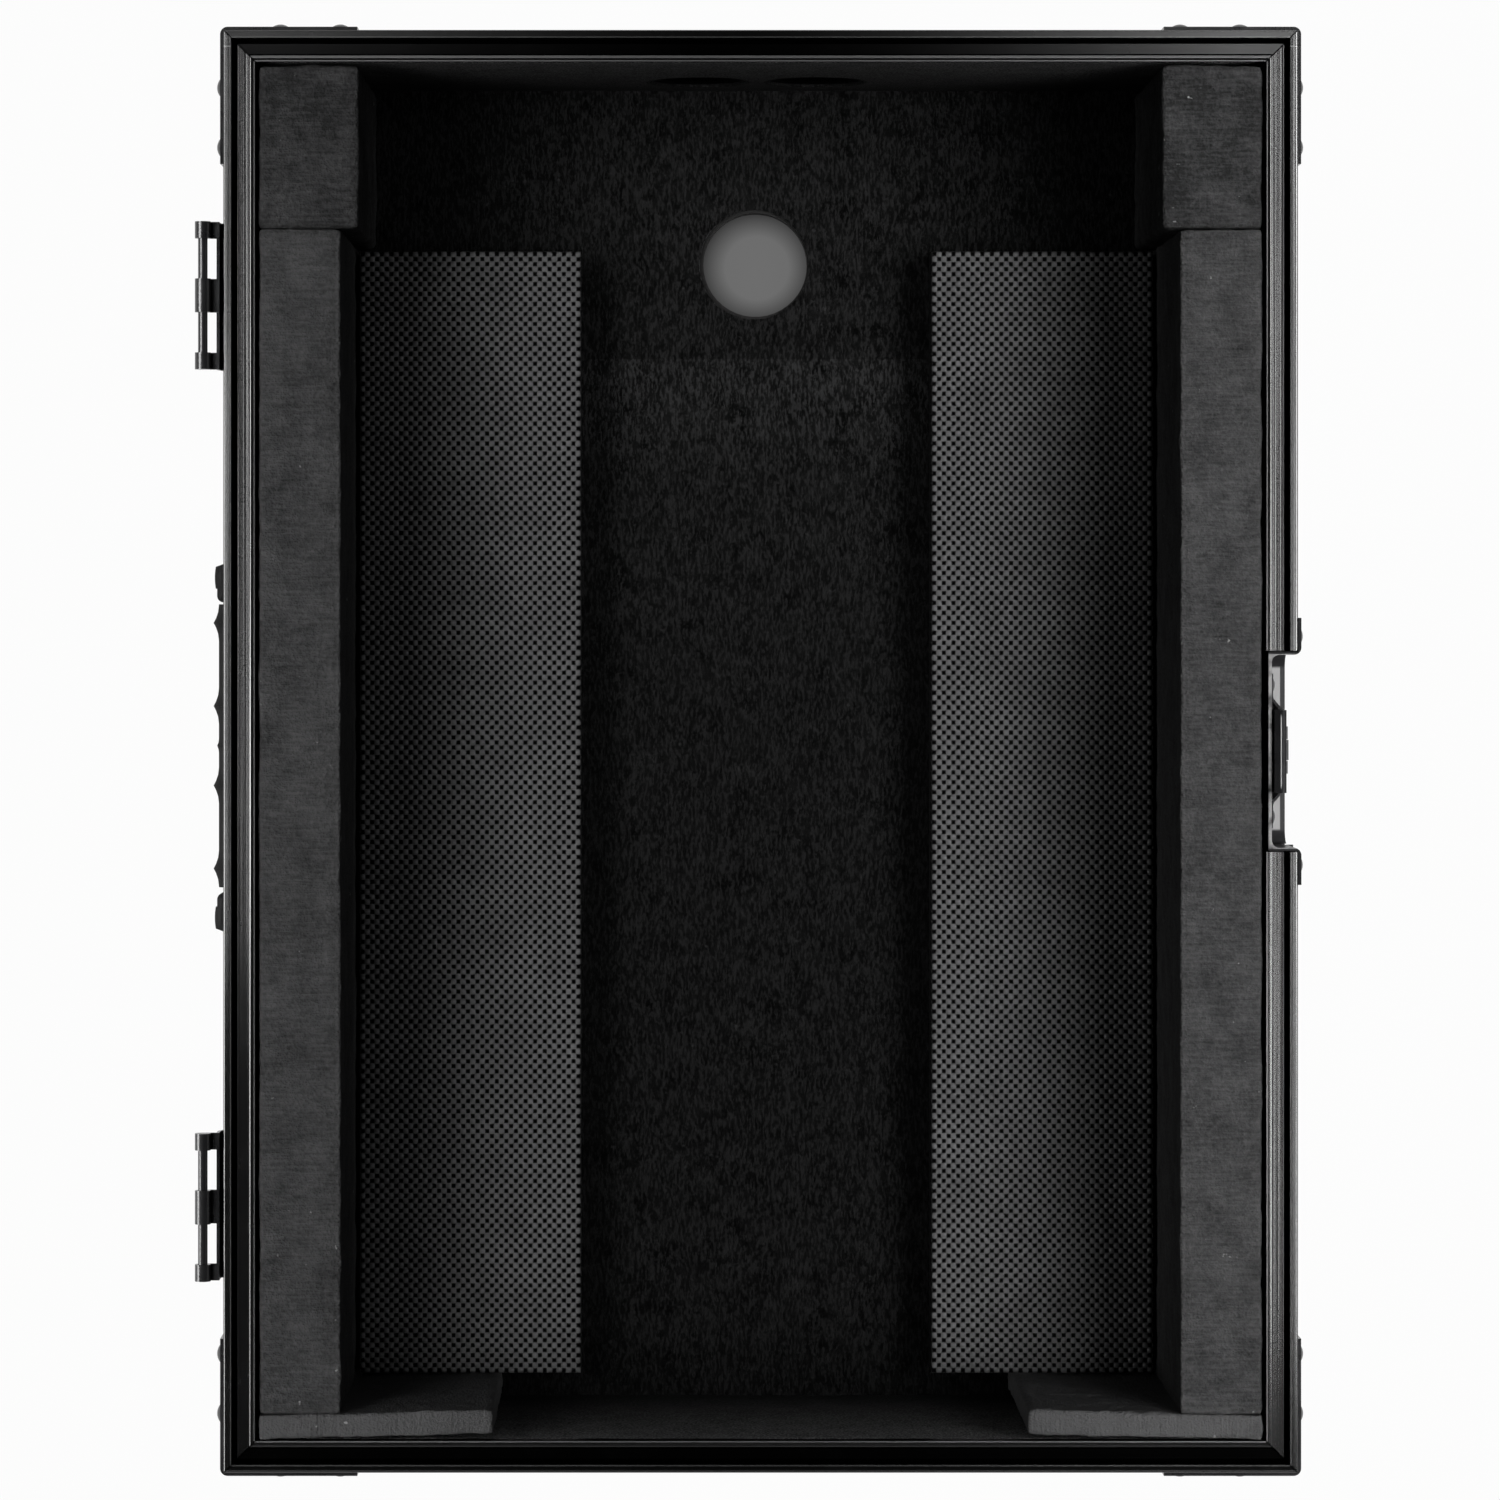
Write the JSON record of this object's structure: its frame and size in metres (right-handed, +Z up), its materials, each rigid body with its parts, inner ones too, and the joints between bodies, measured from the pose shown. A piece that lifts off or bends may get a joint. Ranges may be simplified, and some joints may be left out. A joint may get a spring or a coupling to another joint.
{
  "type": "flight case base",
  "caption": "Black lined flight-case base for a table-top audio mixer, with foam blocks, textured floor pads, cable ports, butterfly latch, lift-off hinges and bail handle.",
  "frame": {"origin": "centre of the footprint on the plane that the feet stand on", "axes": "+X to the latch side, +Y along the length to the rear (cable) side, +Z up"},
  "size_m": [0.4463, 0.588, 0.1545],
  "materials": {
    "laminated_panel": "plywood faced with a black laminate of fine grain",
    "black_extrusion": "black anodised, satin",
    "black_steel": "black powder coat, satin",
    "charcoal_foam": "sawn open-cell foam, matt",
    "textured_pad": "closed-cell foam embossed with a fine diamond net",
    "black_felt": "short black pile",
    "black_rubber": "matt black rubber"
  },
  "bodies": {
    "case": {"floor_panel": "laminated_panel", "wall_left": "laminated_panel", "wall_right": "laminated_panel", "wall_front": "laminated_panel", "wall_rear": "laminated_panel", "rim_left": "black_extrusion", "rim_rear": "black_extrusion", "rim_front": "black_extrusion", "rim_right_rear": "black_extrusion", "rim_right_front": "black_extrusion", "edge_left": "black_extrusion", "edge_right": "black_extrusion", "edge_front": "black_extrusion", "edge_rear": "black_extrusion", "post_left_rear": "black_extrusion", "post_right_rear": "black_extrusion", "post_left_front": "black_extrusion", "post_right_front": "black_extrusion", "ball_left_rear": "black_steel", "ball_right_rear": "black_steel", "ball_left_front": "black_steel", "ball_right_front": "black_steel", "brace_left_rear": "black_steel", "brace_right_rear": "black_steel", "brace_left_front": "black_steel", "brace_right_front": "black_steel", "hinge_leaf_rear": "black_steel", "hinge_leaf_front": "black_steel", "hinge_pin_rear": "black_steel", "hinge_pin_front": "black_steel", "latch_dish": "black_steel", "latch_bracket": "black_steel", "handle_dish": "black_steel", "handle_ears": "black_steel", "foam_side_left": "charcoal_foam", "foam_side_right": "charcoal_foam", "foam_rear_left": "charcoal_foam", "foam_rear_right": "charcoal_foam", "foam_front_left": "charcoal_foam", "foam_front_right": "charcoal_foam", "pad_left": "textured_pad", "pad_right": "textured_pad", "lining_floor": "black_felt", "lining_floor_rear": "black_felt", "lining_left": "black_felt", "lining_right": "black_felt", "lining_front": "black_felt", "lining_rear": "black_felt", "feet": "black_rubber", "foot_screws": "black_steel", "rivets_edge": "black_steel", "rivets_hinge": "black_steel", "rivets_latch": "black_steel", "rivets_handle": "black_steel"},
    "handle": {"handle_bail": "black_steel", "handle_grip": "black_rubber"},
    "latch_spindle": {"latch_spindle": "black_steel"},
    "latch_wing": {"latch_wing": "black_steel", "latch_wing_pin": "black_steel"},
    "latch_claw": {"latch_claw": "black_steel"}
  },
  "joints": [
    {"name": "handle_swing", "type": "hinge", "parent": "case", "child": "handle", "pos_m": [-0.219, 0, 0.0945], "axis": [0, 1, 0], "range_deg": [0, 90]},
    {"name": "latch_turn", "type": "hinge", "parent": "case", "child": "latch_spindle", "pos_m": [0.204, 0, 0.1295], "axis": [1, 0, 0], "range_deg": [0, 180]},
    {"name": "latch_lift", "type": "slide", "parent": "case", "child": "latch_claw", "axis": [0, 0, 1], "range_m": [0, 0.008]},
    {"name": "wing_fold", "type": "hinge", "parent": "latch_spindle", "child": "latch_wing", "pos_m": [0.211, 0, 0.1295], "axis": [0, -1, 0], "range_deg": [0, 90]}
  ],
  "couplings": [
    {"joint": "latch_turn", "follows": "latch_lift", "rad_per_m": 392.69}
  ]
}
